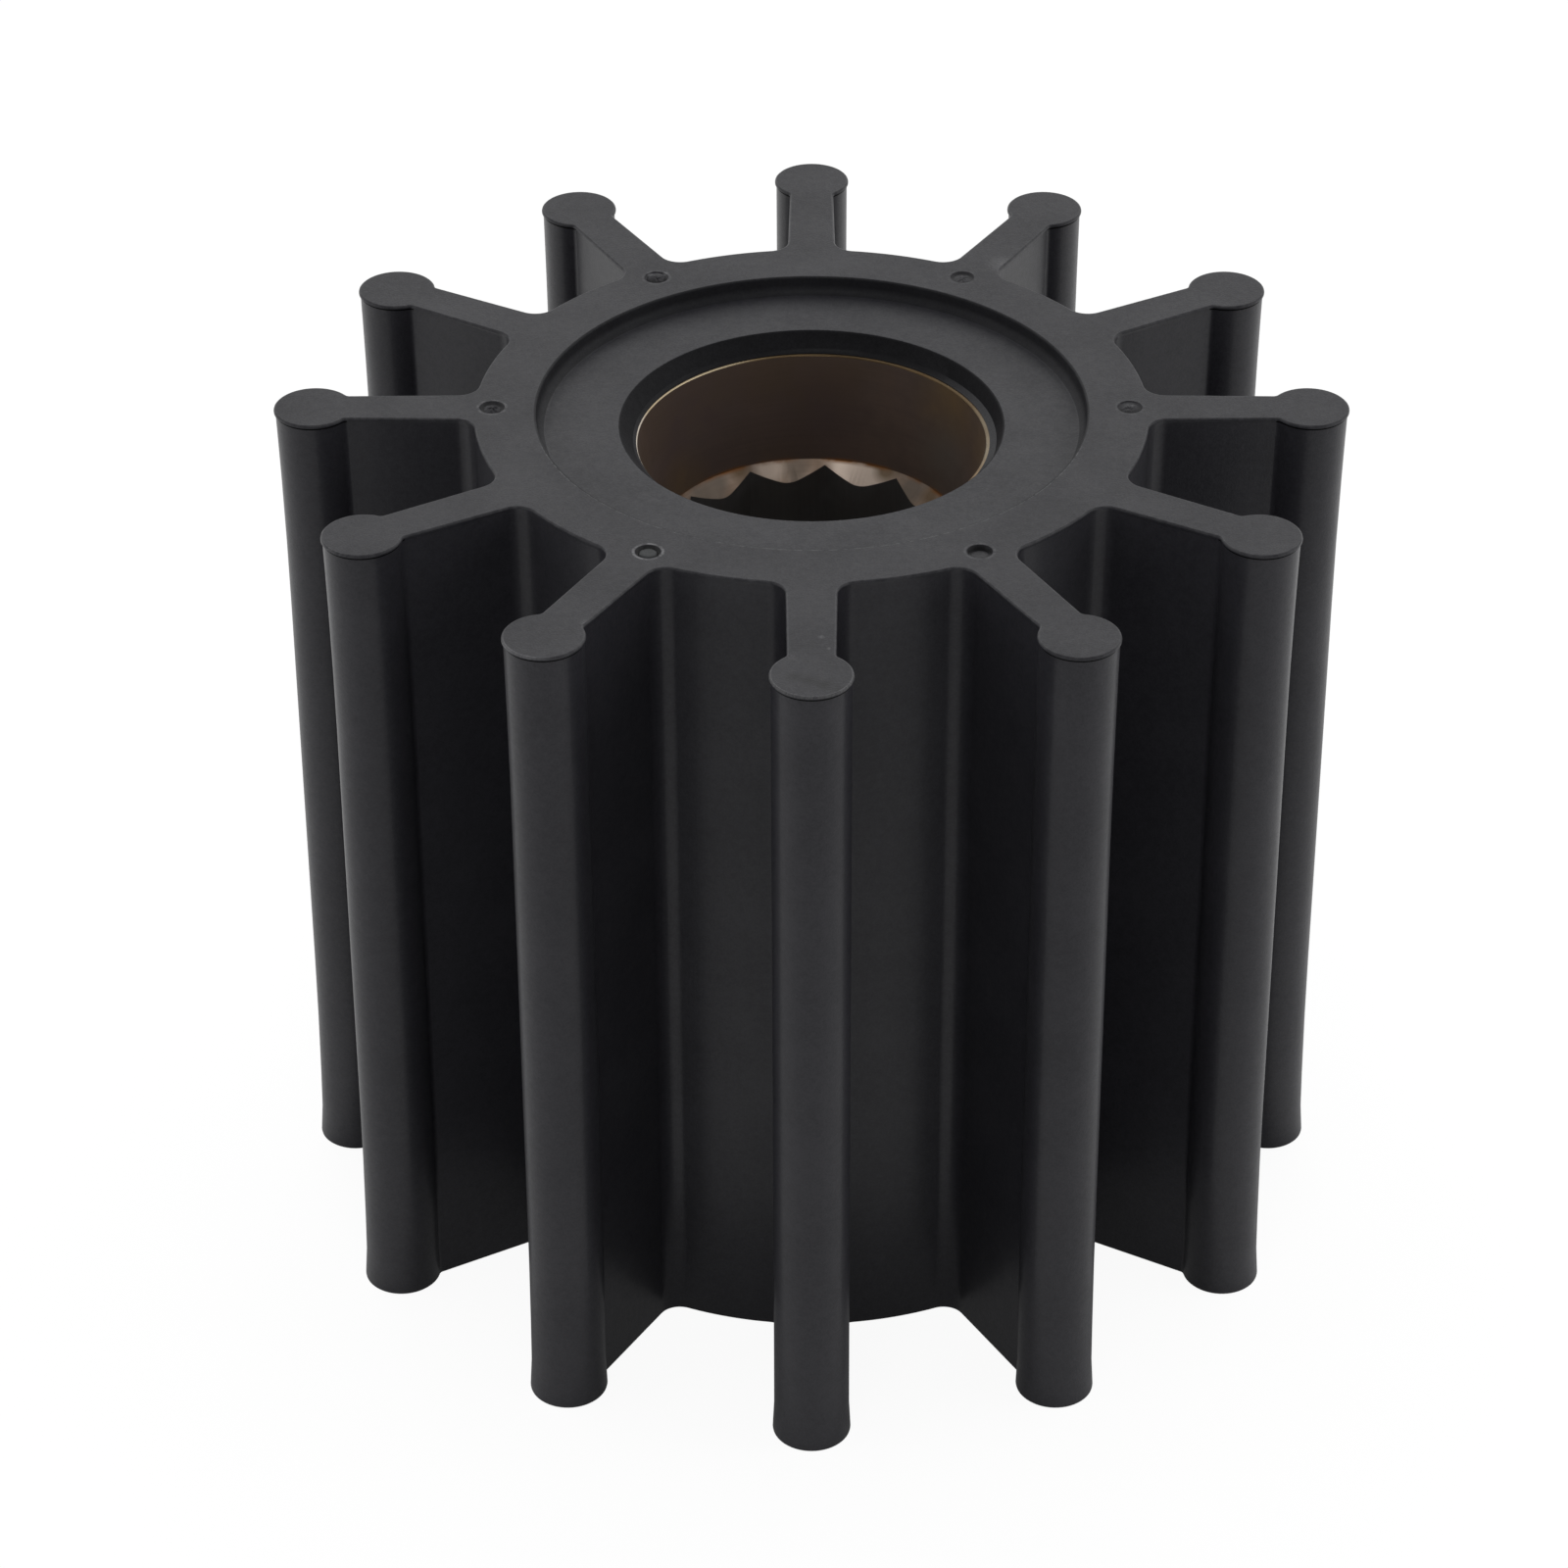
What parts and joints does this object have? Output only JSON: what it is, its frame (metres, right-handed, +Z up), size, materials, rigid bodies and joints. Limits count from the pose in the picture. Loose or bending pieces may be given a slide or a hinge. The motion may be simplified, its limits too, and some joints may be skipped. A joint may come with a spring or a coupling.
{
  "type": "flexible pump impeller",
  "caption": "Moulded rubber impeller with straight bead-tipped vanes around a hub, bonded to a bronze insert with an internal drive spline.",
  "frame": {"origin": "centre of the lower end face, on the shaft axis, in the plane that the hub and the vanes rest on", "axes": "+Z up along the shaft axis, towards the end with the moulding gate marks; one vane points along each of +X, -X, +Y and -Y"},
  "size_m": [0.095, 0.095, 0.08],
  "materials": {
    "black_rubber": "moulded black rubber, satin, with faint draw lines down the vanes",
    "bronze": "turned and broached bronze, dulled brown on the seat and bright on its edges"
  },
  "bodies": {
    "root": {"vaned_rubber_body": "black_rubber", "splined_insert": "bronze"}
  },
  "joints": []
}
